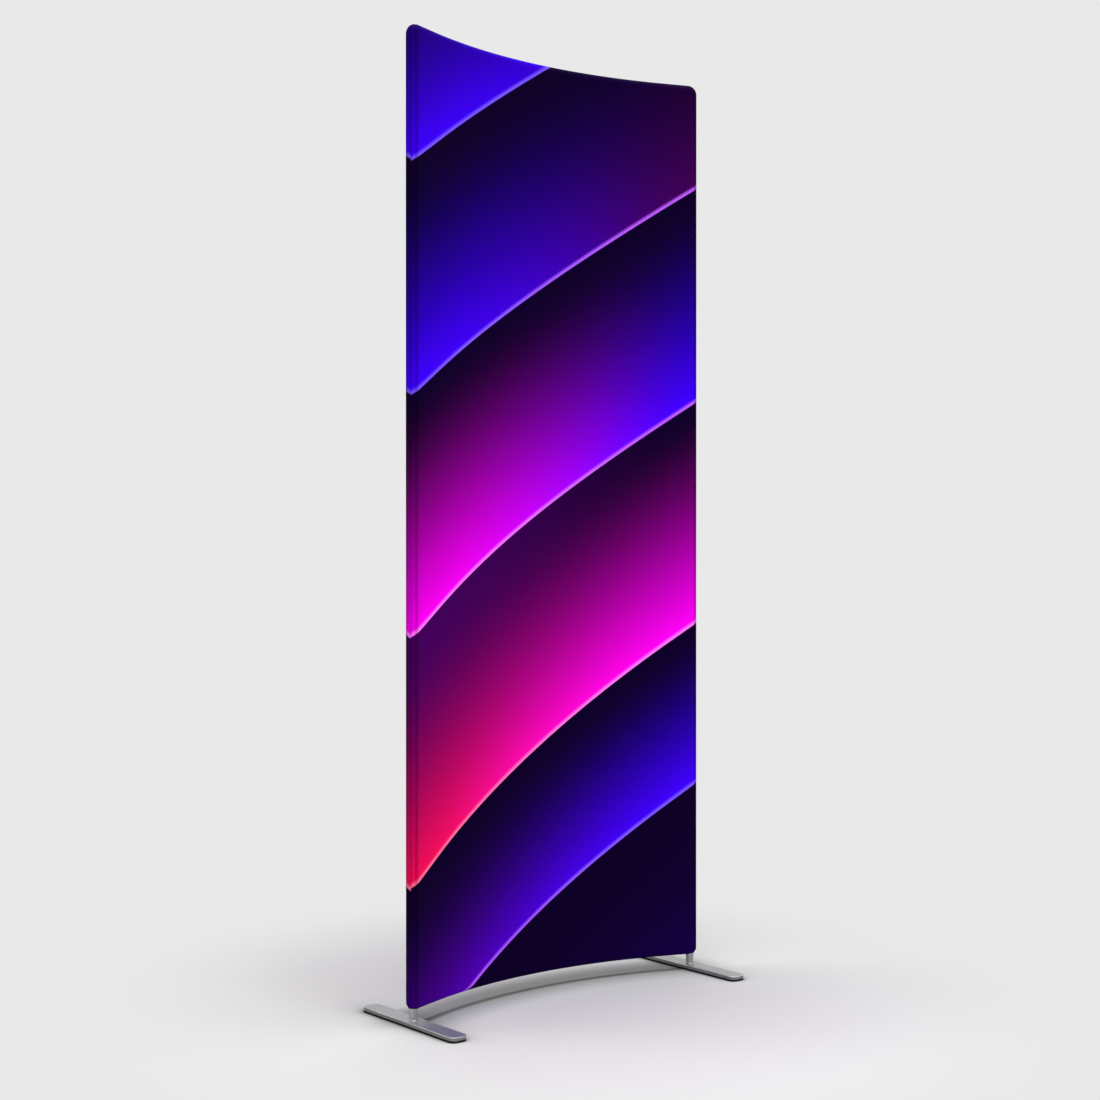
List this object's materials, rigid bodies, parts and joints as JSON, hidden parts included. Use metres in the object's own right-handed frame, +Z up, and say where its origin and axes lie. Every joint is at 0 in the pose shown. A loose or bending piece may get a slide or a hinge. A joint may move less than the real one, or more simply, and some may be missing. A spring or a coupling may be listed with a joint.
{
  "type": "curved fabric display stand",
  "caption": "Free-standing display stand: a bowed knock-down tube frame inside a stretched printed fabric cover, on flat swivelling metal feet.",
  "frame": {"origin": "on the floor, midway between the uprights, below the chord between their axes", "axes": "+X along the chord of the bow, +Y to the back, where the middle of the panel bows out, +Z up"},
  "size_m": [0.936, 0.366, 2.324],
  "materials": {
    "cloth_print": "stretched polyester knit, dye-printed with diagonal stripe bands",
    "foot_metal": "satin",
    "pad_rubber": "matt",
    "tube_aluminium": "mill finish",
    "fitting_plastic": "moulded, fine grain",
    "button_steel": "bright zinc plate",
    "spring_steel": "blued strip",
    "rivet_aluminium": "plain",
    "screw_steel": "black oxide",
    "zip_tape": "woven twill tape",
    "zip_coil": "moulded nylon",
    "zip_metal": "nickel plate"
  },
  "bodies": {
    "frame": {"back_fabric": "cloth_print", "bottom_rail": "tube_aluminium", "front_fabric": "cloth_print", "left_bottom_tee": "fitting_plastic", "left_lower_tube": "tube_aluminium", "left_middle_tee": "fitting_plastic", "left_top_corner": "fitting_plastic", "left_upper_tube": "tube_aluminium", "middle_brace": "tube_aluminium", "right_bottom_tee": "fitting_plastic", "right_lower_tube": "tube_aluminium", "right_middle_tee": "fitting_plastic", "right_top_corner": "fitting_plastic", "right_upper_tube": "tube_aluminium", "rivets": "rivet_aluminium", "snap_springs": "spring_steel", "top_rail": "tube_aluminium", "zip_chain": "zip_coil", "zip_stops": "zip_coil", "zip_tapes": "zip_tape"},
    "left_top_rail_button": {"left_top_rail_button": "button_steel"},
    "left_upright_button": {"left_upright_button": "button_steel"},
    "left_brace_button": {"left_brace_button": "button_steel"},
    "left_bottom_rail_button": {"left_bottom_rail_button": "button_steel"},
    "left_foot": {"left_foot_plate": "foot_metal", "left_foot_post": "foot_metal", "left_foot_pad": "pad_rubber", "left_foot_screw": "screw_steel"},
    "right_top_rail_button": {"right_top_rail_button": "button_steel"},
    "right_upright_button": {"right_upright_button": "button_steel"},
    "right_brace_button": {"right_brace_button": "button_steel"},
    "right_bottom_rail_button": {"right_bottom_rail_button": "button_steel"},
    "right_foot": {"right_foot_plate": "foot_metal", "right_foot_post": "foot_metal", "right_foot_pad": "pad_rubber", "right_foot_screw": "screw_steel"},
    "zip_slider": {"zip_slider": "zip_metal"},
    "zip_pull": {"zip_pull": "zip_metal"}
  },
  "joints": [
    {"name": "left_foot_swivel", "type": "hinge", "parent": "frame", "child": "left_foot", "pos_m": [-0.445, 0, 0.013], "axis": [0, 0, 1], "range_deg": [-90, 90]},
    {"name": "left_top_rail_button_press", "type": "slide", "parent": "frame", "child": "left_top_rail_button", "axis": [0, 0, 1], "range_m": [0, 0.0042], "stiffness_N_per_m": 1500, "springref_m": -0.002, "deforming": ["snap_springs"]},
    {"name": "left_upright_button_press", "type": "slide", "parent": "frame", "child": "left_upright_button", "axis": [-0.9385, -0.3453, 0], "range_m": [0, 0.0042], "stiffness_N_per_m": 1500, "springref_m": -0.002, "deforming": ["snap_springs"]},
    {"name": "left_brace_button_press", "type": "slide", "parent": "frame", "child": "left_brace_button", "axis": [0, 0, 1], "range_m": [0, 0.0042], "stiffness_N_per_m": 1500, "springref_m": -0.002, "deforming": ["snap_springs"]},
    {"name": "left_bottom_rail_button_press", "type": "slide", "parent": "frame", "child": "left_bottom_rail_button", "axis": [0, 0, -1], "range_m": [0, 0.0042], "stiffness_N_per_m": 1500, "springref_m": -0.002, "deforming": ["snap_springs"]},
    {"name": "right_foot_swivel", "type": "hinge", "parent": "frame", "child": "right_foot", "pos_m": [0.445, 0, 0.013], "axis": [0, 0, 1], "range_deg": [-90, 90]},
    {"name": "right_top_rail_button_press", "type": "slide", "parent": "frame", "child": "right_top_rail_button", "axis": [0, 0, 1], "range_m": [0, 0.0042], "stiffness_N_per_m": 1500, "springref_m": -0.002, "deforming": ["snap_springs"]},
    {"name": "right_upright_button_press", "type": "slide", "parent": "frame", "child": "right_upright_button", "axis": [0.9385, -0.3453, 0], "range_m": [0, 0.0042], "stiffness_N_per_m": 1500, "springref_m": -0.002, "deforming": ["snap_springs"]},
    {"name": "right_brace_button_press", "type": "slide", "parent": "frame", "child": "right_brace_button", "axis": [0, 0, 1], "range_m": [0, 0.0042], "stiffness_N_per_m": 1500, "springref_m": -0.002, "deforming": ["snap_springs"]},
    {"name": "right_bottom_rail_button_press", "type": "slide", "parent": "frame", "child": "right_bottom_rail_button", "axis": [0, 0, -1], "range_m": [0, 0.0042], "stiffness_N_per_m": 1500, "springref_m": -0.002, "deforming": ["snap_springs"]},
    {"name": "zip_run", "type": "hinge", "parent": "frame", "child": "zip_slider", "pos_m": [0, -0.99238, 0.0892], "axis": [0, 0, 1], "range_deg": [0, 36.07]},
    {"name": "zip_pull_swing", "type": "hinge", "parent": "zip_slider", "child": "zip_pull", "pos_m": [0.34239, 0.05897, 0.0892], "axis": [0, 0, -1], "range_deg": [0, 170]}
  ]
}
